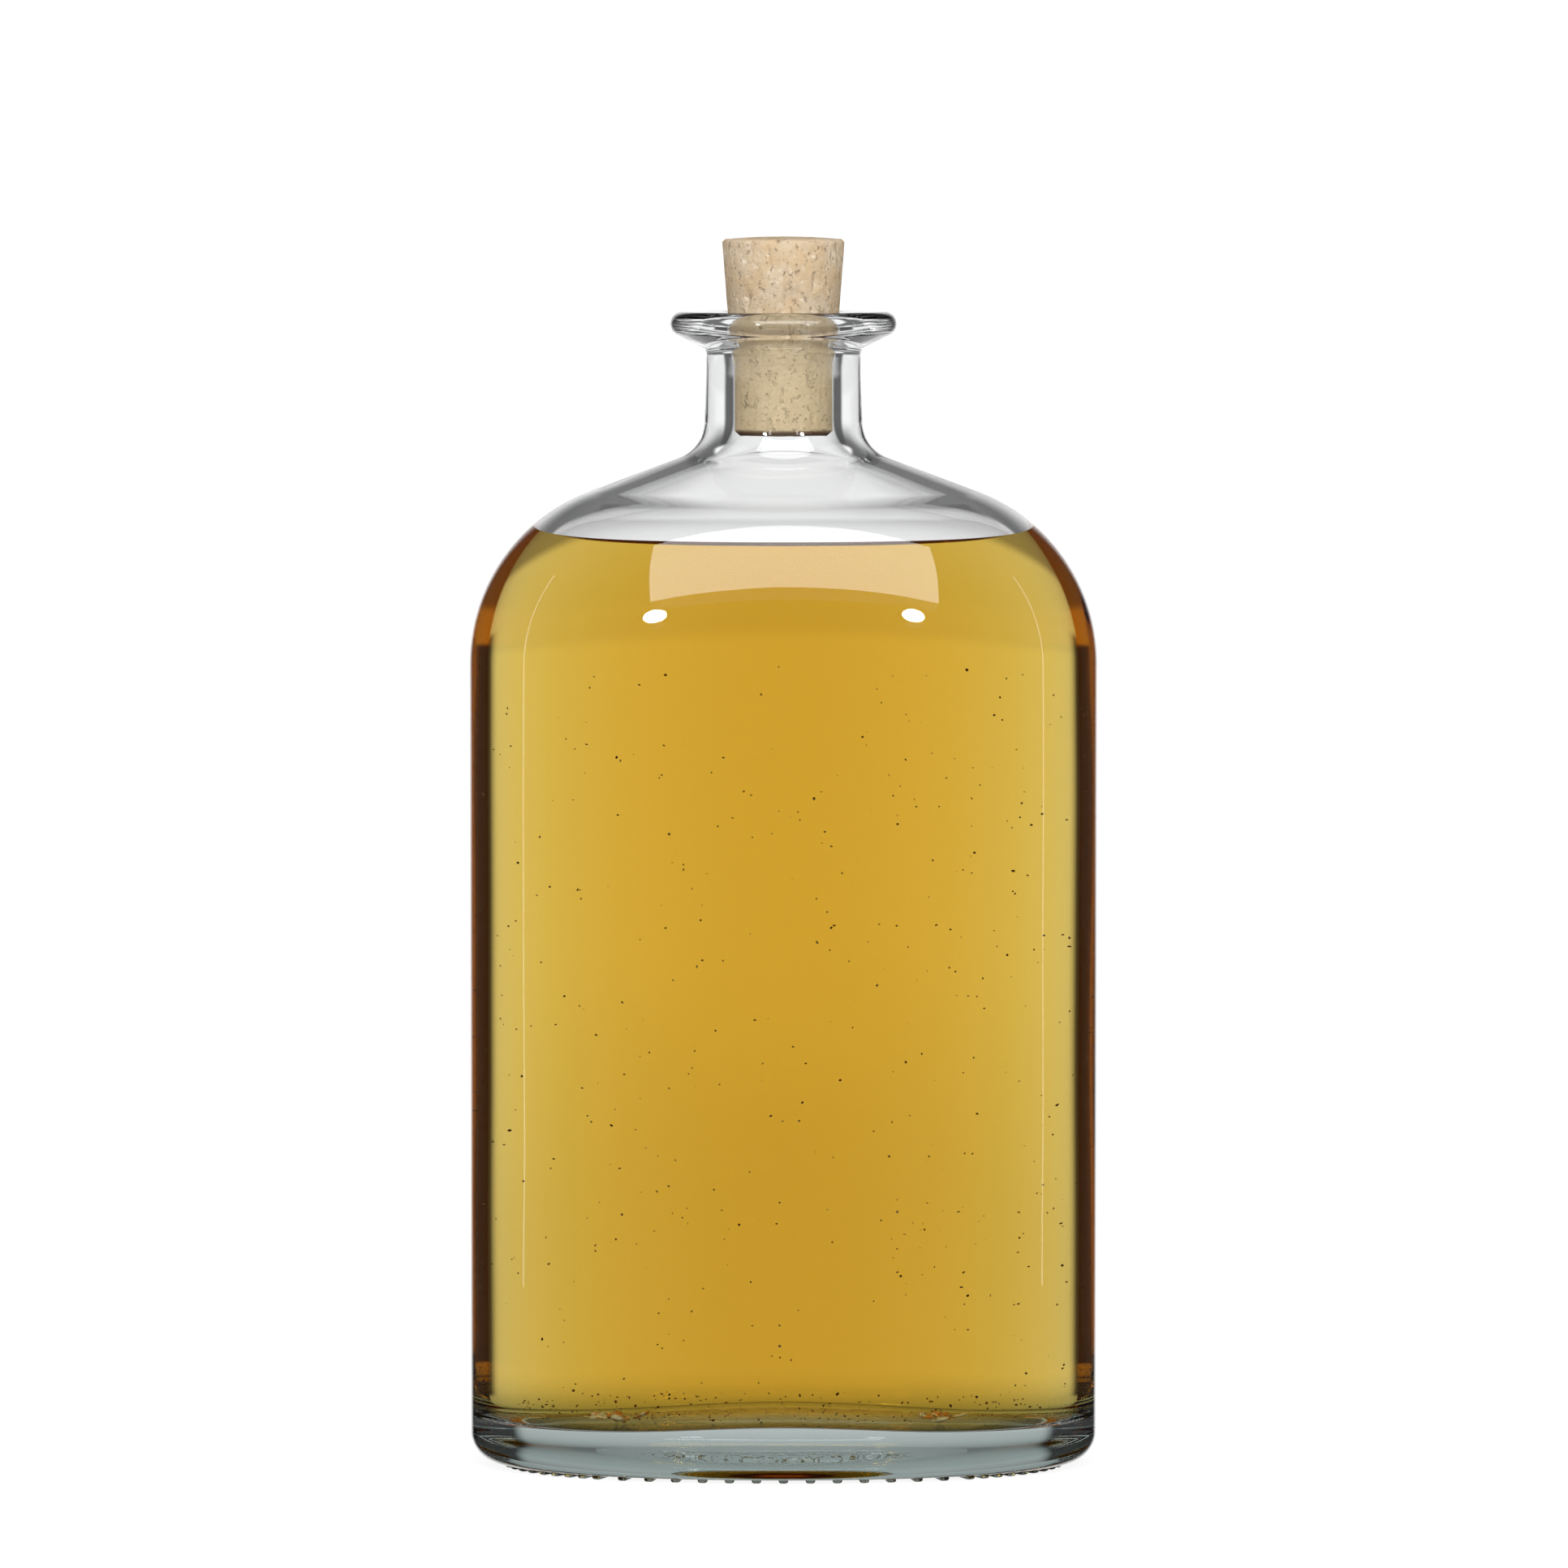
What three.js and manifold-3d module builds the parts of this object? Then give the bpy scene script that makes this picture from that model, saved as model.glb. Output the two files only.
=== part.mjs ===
// A flat oval glass bottle with a wide lip, closed by a tapered cork and
// filled to the shoulder with an amber liquid.
// Millimetres, +Z up, +X across the wide face, +Y towards the back.
// The origin is the middle of the base, on the surface the bottle stands on.
import * as THREE from 'three';
import { mergeVertices } from 'three/addons/utils/BufferGeometryUtils.js';
import Module from 'manifold-3d';

// ---------------------------------------------------------------- sizes
const BODY_WIDTH = 113;
const BODY_DEPTH = 61;
const BODY_HEIGHT = 145; // base to the start of the shoulder
const BODY_FULLNESS = 0.06; // how far the oval swells past a plain ellipse
const WALL = 3.5;

const SHOULDER_RADIUS = 33;
const SHOULDER_SLOPE = 20.6; // degrees, the straight run above the shoulder
const NECK_FILLET = 7;
const THROAT_FILLET = 10.5; // the same bend on the inside

const NECK_DIAMETER = 27.8; // at its waist
const NECK_FLARE = 0.3; // the root is this much fuller than the waist
const NECK_LENGTH = 19.7; // root of the neck to the top of the lip
const NECK_WAIST_DROP = 11.5; // lip top to the waist

const LIP_DIAMETER = 40.7;
const LIP_EDGE_RADIUS = 2.2;
const LIP_SLOPE = 26; // degrees, underside of the lip
const LIP_FILLET = 2;

const BORE_DIAMETER = 18.4;
const MOUTH_DIAMETER = 20.7;
const MOUTH_DEPTH = 9.8; // the bore opens out over this depth
const MOUTH_ROUND = 0.8;

const FLOOR_THICKNESS = 6.2;
const FLOOR_CROWN = 0.8; // the middle of the floor stands this much higher
const FLOOR_CORNER = 4.5;

const HEEL_RADIUS = 5.3;
const RING_WIDTH = 5.6; // bearing ring under the base
const PUSH_UP = 2.2; // hollow of the underside above the bearing ring
const PUSH_UP_BEND = 12; // width of the bend from the ring into the hollow

const KNURL_WIDTH = 1.75;
const KNURL_TIP = 0.7;
const KNURL_HEIGHT = 0.65;
const KNURL_SINK = 0.4;
const KNURL_END_MARGIN = 0.3; // a knurl is this much shorter than the ring is wide
const KNURL_FACE_PITCH = 4.8;
const KNURL_FACE_PITCHES = 7; // coarse pitches each side of the middle
const KNURL_END_PITCH = 2.8;

const FILL_LEVEL = 166.5; // liquid surface above the base

const CORK_LENGTH = 35.9;
const CORK_TOP_DIAMETER = 22;
const CORK_INSERTION = 22.4; // lip top down to the cork's lower end
const CORK_CHAMFER = 0.5; // round the head
const CORK_LOWER_CHAMFER = 1.1;
const CORK_CROWN = 0.5;

const CLEARANCE = 0.3; // between pieces that touch
const CUT_OVERRUN = 1; // a cut runs this far past the glass
const SEGMENTS = 60; // round the bottle
const CORK_SEGMENTS = 48;
const HALFWAY = 0.75; // share of a shallow crown's height halfway to its edge
const MERGE_DISTANCE = 1e-4;
const RING_DIVISIONS = 2000; // steps in which the ring's length is measured

// ------------------------------------------------------- derived places
const halfWidth = BODY_WIDTH / 2;
const neckRadius = NECK_DIAMETER / 2;
const neckRootRadius = neckRadius + NECK_FLARE;
const boreRadius = BORE_DIAMETER / 2;
const mouthRadius = MOUTH_DIAMETER / 2;
const ringOuter = halfWidth - HEEL_RADIUS;
const ringInner = ringOuter - RING_WIDTH;
const shoulderSlope = THREE.MathUtils.degToRad(SHOULDER_SLOPE);
const neckRootZ = bendZ(halfWidth, SHOULDER_RADIUS, neckRootRadius, NECK_FILLET);
const lipTopZ = neckRootZ + NECK_LENGTH;
const waistZ = lipTopZ - NECK_WAIST_DROP;
const floorZ = KNURL_HEIGHT + PUSH_UP + FLOOR_THICKNESS - FLOOR_CROWN;

// The horizontal section swells from a circle of radius `circle` to an oval
// `wide` by `deep`; a profile radius in between takes its share of the depth.
const OUTSIDE = { circle: neckRadius, wide: halfWidth, deep: BODY_DEPTH / 2 };
const INSIDE = {
  circle: boreRadius, wide: halfWidth - WALL, deep: BODY_DEPTH / 2 - WALL,
};

const v2 = (r, z) => new THREE.Vector2(r, z);

function arc(centreR, centreZ, radius, fromDegrees, toDegrees, steps) {
  return Array.from({ length: steps + 1 }, (_, i) => {
    const angle = THREE.MathUtils.degToRad(
      THREE.MathUtils.lerp(fromDegrees, toDegrees, i / steps));
    return v2(centreR + radius * Math.cos(angle), centreZ + radius * Math.sin(angle));
  });
}

// Height of the neck's bend: the straight run at the shoulder's slope touches
// both the shoulder's arc and the bend into the neck.
function bendZ(wide, shoulderRadius, neck, fillet) {
  const run = (neck + fillet) - (wide - shoulderRadius);
  const reach = shoulderRadius + fillet - run * Math.sin(shoulderSlope);
  return BODY_HEIGHT + reach / Math.cos(shoulderSlope);
}

function shoulder(wide, shoulderRadius, neck, fillet, shoulderSteps, bendSteps) {
  const bend = bendZ(wide, shoulderRadius, neck, fillet);
  return [
    ...arc(wide - shoulderRadius, BODY_HEIGHT, shoulderRadius,
      0, 90 - SHOULDER_SLOPE, shoulderSteps),
    ...arc(neck + fillet, bend, fillet, 270 - SHOULDER_SLOPE, 180, bendSteps),
  ];
}

// ------------------------------------------------------------ profiles
function underside() {
  const crown = KNURL_HEIGHT + PUSH_UP;
  const bendEnd = ringInner - PUSH_UP_BEND;
  const points = [v2(0, crown)];
  for (let i = 0; i <= 5; i += 1) {
    const share = i / 5;
    const rise = 0.5 + 0.5 * Math.cos(Math.PI * share);
    points.push(v2(bendEnd + PUSH_UP_BEND * share, KNURL_HEIGHT + PUSH_UP * rise));
  }
  points.push(v2(ringOuter, KNURL_HEIGHT));
  return points;
}

function lip() {
  const edgeR = LIP_DIAMETER / 2 - LIP_EDGE_RADIUS;
  const edgeZ = lipTopZ - LIP_EDGE_RADIUS;
  const slope = THREE.MathUtils.degToRad(LIP_SLOPE);
  const filletR = neckRadius + LIP_FILLET;
  // Height at which the fillet under the lip touches both neck and underside.
  const filletZ = edgeZ
    - (LIP_EDGE_RADIUS + LIP_FILLET + (edgeR - filletR) * Math.sin(slope)) / Math.cos(slope);
  return [
    ...arc(filletR, filletZ, LIP_FILLET, 180, 90 + LIP_SLOPE, 3),
    ...arc(edgeR, edgeZ, LIP_EDGE_RADIUS, LIP_SLOPE - 90, 90, 8),
  ];
}

function outsideProfile() {
  return [
    ...underside(),
    ...arc(ringOuter, KNURL_HEIGHT + HEEL_RADIUS, HEEL_RADIUS, -90, 0, 6).slice(1),
    ...shoulder(halfWidth, SHOULDER_RADIUS, neckRootRadius, NECK_FILLET, 12, 5),
    v2(neckRadius, waistZ),
    ...lip(),
    v2(0, lipTopZ),
  ];
}

// The hollow below the bore, drawn `inset` inside the glass.
function hollowProfile(inset) {
  const wide = halfWidth - WALL - inset;
  const corner = FLOOR_CORNER - inset;
  return [
    v2(0, floorZ + FLOOR_CROWN + inset),
    v2((wide - corner) / 2, floorZ + FLOOR_CROWN * HALFWAY + inset),
    ...arc(wide - corner, floorZ + inset + corner, corner, -90, 0, 5),
    ...shoulder(wide, SHOULDER_RADIUS - WALL - inset, boreRadius - inset,
      THROAT_FILLET + inset, 9, 5),
  ];
}

function boreProfile() {
  return [
    v2(boreRadius, lipTopZ - MOUTH_DEPTH),
    v2(mouthRadius, lipTopZ - MOUTH_ROUND),
    ...arc(mouthRadius + MOUTH_ROUND, lipTopZ - MOUTH_ROUND, MOUTH_ROUND, 180, 90, 3).slice(1),
    v2(mouthRadius + MOUTH_ROUND, lipTopZ + CUT_OVERRUN),
    v2(0, lipTopZ + CUT_OVERRUN),
  ];
}

function corkProfile() {
  const bottom = lipTopZ - CORK_INSERTION;
  const top = bottom + CORK_LENGTH;
  const seat = boreRadius - CLEARANCE;
  const head = CORK_TOP_DIAMETER / 2;
  return [
    v2(0, bottom),
    v2(seat - CORK_LOWER_CHAMFER, bottom),
    v2(seat, bottom + CORK_LOWER_CHAMFER),
    v2(seat, lipTopZ - MOUTH_DEPTH),
    v2(mouthRadius - CLEARANCE, lipTopZ),
    v2(head, top - CORK_CROWN - CORK_CHAMFER),
    v2(head - CORK_CHAMFER, top - CORK_CROWN),
    v2(head / 2, top - CORK_CROWN * (1 - HALFWAY)),
    v2(0, top),
  ];
}

// ------------------------------------------------------------- solids
const wasm = await Module();
wasm.setup();

function revolve(profile, segments) {
  const geometry = new THREE.LatheGeometry(profile, segments).rotateX(Math.PI / 2);
  geometry.deleteAttribute('normal');
  geometry.deleteAttribute('uv');
  return mergeVertices(geometry, MERGE_DISTANCE);
}

// Place on the oval that a circle of radius r at this angle becomes.
function ovalPoint(section, radius, angle) {
  const { circle, wide, deep } = section;
  const share = Math.max(0, (radius - circle) / (wide - circle));
  const depth = radius <= circle ? radius : circle + (deep - circle) * share;
  const fullness = BODY_FULLNESS * share;
  const c = Math.cos(angle);
  const s = Math.sin(angle);
  return v2(radius * c * (1 + fullness * s * s), depth * s * (1 + fullness * c * c));
}

// Turns a round vessel into the oval one below the height where it is round.
function makeOval(geometry, section, roundAbove) {
  const position = geometry.attributes.position;
  for (let i = 0; i < position.count; i += 1) {
    const x = position.getX(i);
    const y = position.getY(i);
    if (position.getZ(i) < roundAbove) {
      const place = ovalPoint(section, Math.hypot(x, y), Math.atan2(y, x));
      position.setX(i, place.x);
      position.setY(i, place.y);
    }
  }
  return geometry;
}

function toSolid(geometry) {
  return new wasm.Manifold(new wasm.Mesh({
    numProp: 3,
    vertProperties: new Float32Array(geometry.attributes.position.array),
    triVerts: new Uint32Array(geometry.index.array),
  }));
}

function toGeometry(solid) {
  const { vertProperties, triVerts } = solid.getMesh();
  const geometry = new THREE.BufferGeometry();
  geometry.setAttribute('position', new THREE.BufferAttribute(vertProperties, 3));
  geometry.setIndex(new THREE.BufferAttribute(triVerts, 1));
  geometry.computeVertexNormals();
  return geometry;
}

// Centre line of the bearing ring, from the middle of the back.
class RingLine extends THREE.Curve {
  angle(t) {
    return Math.PI / 2 - 2 * Math.PI * t;
  }

  getPoint(t, target = new THREE.Vector3()) {
    const place = ovalPoint(OUTSIDE, (ringOuter + ringInner) / 2, this.angle(t));
    return target.set(place.x, place.y, 0);
  }
}

// Distances along a quarter of the ring at which a knurl stands: a coarse
// pitch across the face, then a fine one round the end of the oval.
function knurlDistances(quarter) {
  const coarse = KNURL_FACE_PITCH * KNURL_FACE_PITCHES;
  const fineCount = Math.max(1, Math.round((quarter - coarse) / KNURL_END_PITCH));
  const fine = (quarter - coarse) / fineCount;
  return [
    ...Array.from({ length: KNURL_FACE_PITCHES + 1 }, (_, i) => i * KNURL_FACE_PITCH),
    ...Array.from({ length: fineCount }, (_, i) => coarse + (i + 1) * fine),
  ];
}

function knurlBar(length) {
  const shape = new THREE.Shape([
    v2(-KNURL_WIDTH / 2, KNURL_HEIGHT + KNURL_SINK),
    v2(-KNURL_WIDTH / 2, KNURL_HEIGHT),
    v2(-KNURL_TIP / 2, 0),
    v2(KNURL_TIP / 2, 0),
    v2(KNURL_WIDTH / 2, KNURL_HEIGHT),
    v2(KNURL_WIDTH / 2, KNURL_HEIGHT + KNURL_SINK),
  ]);
  return new THREE.ExtrudeGeometry(shape, { depth: length, bevelEnabled: false })
    .translate(0, 0, -length / 2)
    .rotateX(Math.PI / 2);
}

function knurls() {
  const line = new RingLine();
  line.arcLengthDivisions = RING_DIVISIONS;
  const length = line.getLength();
  const quarter = length / 4;
  const one = knurlDistances(quarter);
  const half = [...one, ...one.slice(0, -1).reverse().map((s) => 2 * quarter - s)];
  const all = [...half, ...half.slice(1, -1).map((s) => s + 2 * quarter)];
  return all.map((distance) => {
    const along = line.getTangentAt(distance / length);
    const angle = line.angle(line.getUtoTmapping(distance / length));
    const outer = ovalPoint(OUTSIDE, ringOuter, angle);
    const inner = ovalPoint(OUTSIDE, ringInner, angle);
    const middle = outer.clone().lerp(inner, 0.5);
    const bar = knurlBar(outer.distanceTo(inner) - KNURL_END_MARGIN)
      .rotateZ(Math.atan2(along.y, along.x))
      .translate(middle.x, middle.y, 0);
    bar.deleteAttribute('normal');
    bar.deleteAttribute('uv');
    return toSolid(mergeVertices(bar, MERGE_DISTANCE));
  });
}

function glassBottle() {
  const outside = toSolid(makeOval(revolve(outsideProfile(), SEGMENTS), OUTSIDE, waistZ));
  const inside = toSolid(makeOval(
    revolve([...hollowProfile(0), ...boreProfile()], SEGMENTS), INSIDE, waistZ));
  const knurled = knurls().reduce((body, bar) => body.add(bar), outside);
  return toGeometry(knurled.subtract(inside));
}

function liquidFill() {
  const section = {
    circle: boreRadius - CLEARANCE,
    wide: INSIDE.wide - CLEARANCE,
    deep: INSIDE.deep - CLEARANCE,
  };
  const profile = hollowProfile(CLEARANCE);
  const full = toSolid(makeOval(
    revolve([...profile, v2(0, profile.at(-1).y)], SEGMENTS), section, waistZ));
  const keep = toSolid(revolve(
    [v2(0, 0), v2(BODY_WIDTH, 0), v2(BODY_WIDTH, FILL_LEVEL), v2(0, FILL_LEVEL)], 8));
  return toGeometry(full.intersect(keep));
}

function piece(name, geometry, material) {
  const mesh = new THREE.Mesh(geometry, new THREE.MeshStandardMaterial(material));
  mesh.name = name;
  return mesh;
}

const object = new THREE.Group();
object.add(
  piece('bottle', glassBottle(), {
    color: 0xdfe8e8, roughness: 0.03, metalness: 0, transparent: true, opacity: 0.3,
  }),
  piece('liquid', liquidFill(), {
    color: 0xd4a437, roughness: 0.05, metalness: 0, transparent: true, opacity: 0.8,
  }),
  piece('cork_stopper', revolve(corkProfile(), CORK_SEGMENTS), {
    color: 0xdcc8a2, roughness: 0.85, metalness: 0,
  }),
);

export default object;
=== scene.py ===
import math
import random

import bmesh
import bpy
import numpy as np
from bpy.props import FloatProperty, FloatVectorProperty, IntProperty, PointerProperty
from mathutils import Matrix, Vector, noise


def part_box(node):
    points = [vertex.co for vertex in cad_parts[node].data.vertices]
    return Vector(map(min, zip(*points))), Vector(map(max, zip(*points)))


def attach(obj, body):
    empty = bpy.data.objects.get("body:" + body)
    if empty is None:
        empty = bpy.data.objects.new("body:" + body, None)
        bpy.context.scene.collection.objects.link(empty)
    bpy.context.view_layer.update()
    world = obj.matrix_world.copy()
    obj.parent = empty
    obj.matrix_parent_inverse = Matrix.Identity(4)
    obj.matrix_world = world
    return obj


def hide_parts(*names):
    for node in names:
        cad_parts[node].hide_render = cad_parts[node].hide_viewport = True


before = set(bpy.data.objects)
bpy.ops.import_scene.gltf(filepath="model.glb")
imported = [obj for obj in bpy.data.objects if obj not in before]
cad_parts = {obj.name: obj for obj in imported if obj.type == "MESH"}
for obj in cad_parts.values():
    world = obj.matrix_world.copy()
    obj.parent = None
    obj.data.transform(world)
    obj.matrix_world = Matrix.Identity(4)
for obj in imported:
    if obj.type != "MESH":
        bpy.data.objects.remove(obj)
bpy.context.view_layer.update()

bl_info = {
    "name": "Corked Glass Bottle",
    "version": (1, 0, 0),
    "blender": (4, 5, 0),
    "location": "View3D > Sidebar > Bottle",
    "description": "Dresses a flat oval glass bottle with its liquid, cork and studio",
    "category": "Object",
}

MM = 0.001
CORK_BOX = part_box("cork_stopper")
FREE_SURFACE = "free_surface"

# Sizes of the glass that have no setting
STEPS_ROUND = 256
BODY_FULLNESS = 0.06  # how far the oval swells past a plain ellipse
NECK_WAIST_DROP = 11.5 * MM  # from the lip's top down to the waist
LIP_SLOPE = 26  # degrees, the underside of the lip
CROWN_FALL = ((0, 1), (1 / 3, 0.89), (2 / 3, 0.55))  # way out, share of the crown left
SWELL_REACH = 24 * MM  # half the width of the floor's swelling
SWELL_FADE = 9 * MM  # height above the floor where the swelling ends
KNURL_SINK = 0.4 * MM
KNURL_END_MARGIN = 0.3 * MM
KNURL_ROUNDING = 0.5 * MM
COARSE_PITCHES = 7  # coarse pitches each side of a face's middle
RING_DIVISIONS = 4000
RING_NUDGE = 0.001  # radians, to find the ring's direction
GLASS_SHARP_ANGLE = 50
SPIN_MERGE = 1e-6
MERGE = 2e-6

# Sizes of the liquid, its specks and its flakes
LIQUID_INSET = 0.02 * MM
CLIMB_REACH = 3 * MM
CLIMB_STEPS = 12
CLIMB_CURVE = 2.5
LIQUID_SHARP_ANGLE = 60
SPECK_SEED = 7
SPECK_WALL_GAP = 1.2 * MM
SPECK_CROWDING = 0.2  # under 0.5 crowds the specks towards the wall
SPECK_RADIUS = (0.09, 0.24)
SETTLED_SHARE = 0.3
SETTLED_REACH = 0.85
SETTLED_HEIGHT = (1.8, 4.0)
FLOATING_START = 4 * MM  # above the floor
FLOATING_END = 22 * MM  # below the surface
HEAP_MIDDLES = (-30.5, 27)
HEAP_DEPTH = -14
HEAP_SPREAD = (2.4, 1.6)
HEAP_HEIGHT = (0.9, 2.2)
HEAP_FLAKES = 16

# Sizes of the cork that have no setting
CORK_GAP = 0.3 * MM
CORK_CHAMFER = 0.5 * MM
CORK_LOWER_CHAMFER = 1.1 * MM
CORK_CROWN = 0.5 * MM
CORK_STEP = 0.35 * MM
CORK_STEPS_ROUND = 220
CORK_SHARP_ANGLE = 50
CORK_GRAIN_SCALE = 900
CORK_GRAIN_STRETCH = 0.35
CORK_PIT_SCALE = 0.6
CORK_PIT_STRETCH = 0.2
CORK_PIT_SHIFT = 9
CORK_PIT_EDGE = 0.34

# Finishes
GLASS_IOR = 1.52
LIQUID_IOR = 1.36
THIN_GLASS = (0.985, 0.992, 0.992, 1)
TINT_FADE = (4 * MM, 16 * MM)  # the tint is full below and gone above
STIPPLE_ACROSS = (-26 * MM, 36 * MM, 8 * MM)
STIPPLE_DEEP = (0, 9 * MM, 2 * MM)
STIPPLE_TOP = (3.5 * MM, 4.5 * MM)
SPECK_TONES = (0.05, 0.03, 0.015, 1), (0.20, 0.12, 0.05, 1)
FLAKE_TONES = (0.75, 0.30, 0.04, 1), (0.85, 0.80, 0.62, 1)
CORK_SHADE = (0.93, 0.86, 0.74)  # what the broad patches leave of the base colour
CORK_GRAIN_DARK = (0.60, 0.43, 0.25, 1)
CORK_GRAIN_PALE = (0.84, 0.74, 0.58, 1)
# painted light: the paler, warmer colour of the cork held in the neck
CORK_PAINTED_LIGHT_IN_NECK = (0.92, 0.72, 0.42, 1)

# The surround by direction: "back" is 1 behind the bottle and -1 at the camera, and a
# height is the sine of the angle above the horizontal
CEILING_FALL = (0.0, 0.46)
CEILING_LOSS = 0.92
BACKDROP_SIDES = (0.65, 0.79)
BACKDROP_FOOT = (-0.105, -0.080)
BACKDROP_FOOT_LEVEL = 0.88
FRONT_SIDES = (-0.75, -0.50)
FRONT_LEVEL = 0.85
OVERHEAD_START = (0.52, 0.60)
OVERHEAD_END = (0.78, 0.90)
OVERHEAD_LEVEL = 0.9
SIDE_LEVEL = 0.09
TABLE_EDGE = (-0.175, -0.140)
TABLE_LEVEL = 0.88
TABLE_SHADE = (-0.42, -0.35)
TABLE_LOSS = 0.50
MIRRORED_SIDES = (0.90, 0.98)
MIRRORED_LEVEL = 0.03
SOFT_LEVEL = 0.60
SEEN_LEVEL = 1.04

# Stage
TABLE_RADIUS = 1.0
TABLE_FADE = (0.25, 0.95)
TABLE_GLOW = 1.1
TABLE_GLOW_SHARE = 0.82
FAR_RADIUS = 12
FAR_DROP = 0.3 * MM
LIGHT_TARGET = (0, 0, 0.12)
STRIP_TARGET = (0, 0, 0.15)
CAMERA_AIM = (0.0001, 0, 0.1232)
CAMERA_SENSOR = 36
PHOTO_WIDTH = 1932  # pixels
PHOTO_SCALE = 6.85  # pixels in a millimetre


# Settings
def length(name, millimetres, text):
    return FloatProperty(
        name=name, description=text, default=millimetres * MM, unit="LENGTH", precision=5)


def colour(name, value, text):
    return FloatVectorProperty(
        name=name, description=text, default=value, size=3, subtype="COLOR", min=0, max=1)


class BottleSettings(bpy.types.PropertyGroup):
    width: length("Width", 113, "Body width across the wide face")
    depth: length("Depth", 61, "Body depth from front to back")
    body_height: length("Body height", 145, "Base to the start of the shoulder")
    wall: length("Wall", 3.5, "Thickness of the glass in the body")
    shoulder: length("Shoulder radius", 33, "Radius of the shoulder's arc")
    slope: FloatProperty(
        name="Shoulder slope", description="Slope of the straight run under the neck",
        default=math.radians(20.6), subtype="ANGLE")
    neck_fillet: length("Neck fillet", 7, "Bend from the shoulder into the neck")
    throat_fillet: length("Throat fillet", 10.5, "The same bend on the inside")
    neck: length("Neck diameter", 27.8, "Neck diameter at its waist")
    neck_flare: length("Neck flare", 0.3, "The neck's root is fuller by this radius")
    neck_length: length("Neck length", 19.7, "Root of the neck to the lip's top")
    lip: length("Lip diameter", 40.7, "Outer diameter of the lip")
    lip_edge: length("Lip edge", 2.2, "Radius of the lip's rounded edge")
    lip_fillet: length("Lip fillet", 2, "Fillet between neck and lip")
    bore: length("Bore diameter", 18.4, "Bore of the neck")
    mouth: length("Mouth diameter", 20.7, "Bore at the mouth")
    mouth_depth: length("Mouth depth", 9.8, "Depth over which the bore opens out")
    mouth_round: length("Mouth rounding", 0.8, "Radius of the mouth's edge")
    floor: length("Floor", 6.2, "Thickness of the glass floor")
    floor_crown: length("Floor crown", 0.8, "Rise in the middle of the floor")
    floor_corner: length("Floor corner", 4.5, "Inside radius between floor and wall")
    floor_swell: length("Floor swell", 1.6, "Uneven glass that thickens the floor's middle")
    heel: length("Heel", 5.3, "Radius of the heel")
    ring: length("Ring width", 5.6, "Width of the bearing ring")
    push_up: length("Push-up", 2.2, "Hollow of the underside")
    bend: length("Push-up bend", 12, "Width of the bend into the hollow")
    knurl_width: length("Knurl width", 1.75, "Width of a knurl at its root")
    knurl_height: length("Knurl height", 0.65, "Height of a knurl")
    knurl_pitch: length("Knurl pitch", 4.8, "Pitch of the knurls across the faces")
    knurl_end_pitch: length("Knurl end pitch", 2.8, "Pitch of the knurls round the ends")
    tint: colour("Tint", (0.30, 0.37, 0.36), "Colour of the glass where it is thick")


class LiquidSettings(bpy.types.PropertyGroup):
    level: length("Fill level", 166.5, "Height of the liquid's surface")
    climb: length("Climb", 0.8, "Height to which the surface climbs at the glass")
    hue: colour("Colour", (0.898, 0.738, 0.03), "What the liquid lets through")
    density: FloatProperty(
        name="Density", description="Strength of the liquid's colour", default=68, min=0)
    specks: IntProperty(name="Specks", description="Number of specks", default=650, min=0)


class CorkSettings(bpy.types.PropertyGroup):
    base: colour("Cork colour", (0.515, 0.41, 0.288), "Colour of the dry cork")
    streak: colour("Streak colour", (0.42, 0.26, 0.12), "Colour of pits and streaks")
    # colour of the cork's darker lower end
    lower_part: colour("Lower part colour", (0.188, 0.098, 0.048), "Colour of the soaked lower end")


class StudioSettings(bpy.types.PropertyGroup):
    distance: FloatProperty(
        name="Camera distance", description="From the bottle's middle", default=1.8,
        unit="LENGTH")
    height: FloatProperty(
        name="Camera height", description="Above the floor", default=0.243, unit="LENGTH")
    backdrop: FloatProperty(
        name="Backdrop", description="Brightness of the surround in the glass", default=1.0,
        min=0)


# Shading
class Socket:
    """One shader value; sums, differences and products make maths nodes."""

    def __init__(self, graph, socket):
        self.graph = graph
        self.socket = socket

    def maths(self, operation, *values):
        inputs = dict(enumerate((self, *values)))
        return self.graph.add("ShaderNodeMath", {"operation": operation}, inputs)

    def __add__(self, other):
        return self.maths("ADD", other)

    def __sub__(self, other):
        return self.maths("SUBTRACT", other)

    def __rsub__(self, other):
        return (self * -1.0) + other

    def __mul__(self, other):
        return self.maths("MULTIPLY", other)

    __radd__ = __add__
    __rmul__ = __mul__

    def step(self, low, high):
        """Rises smoothly from 0 at the low value to 1 at the high one."""
        return self.graph.add(
            "ShaderNodeMapRange", {"interpolation_type": "SMOOTHSTEP"},
            {"Value": self, "From Min": low, "From Max": high, "To Min": 0.0, "To Max": 1.0})

    def between(self, low, high, edge):
        """Is 1 between two values and fades to 0 over an edge inside each."""
        return self.step(low, low + edge) * (1.0 - self.step(high - edge, high))


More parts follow.
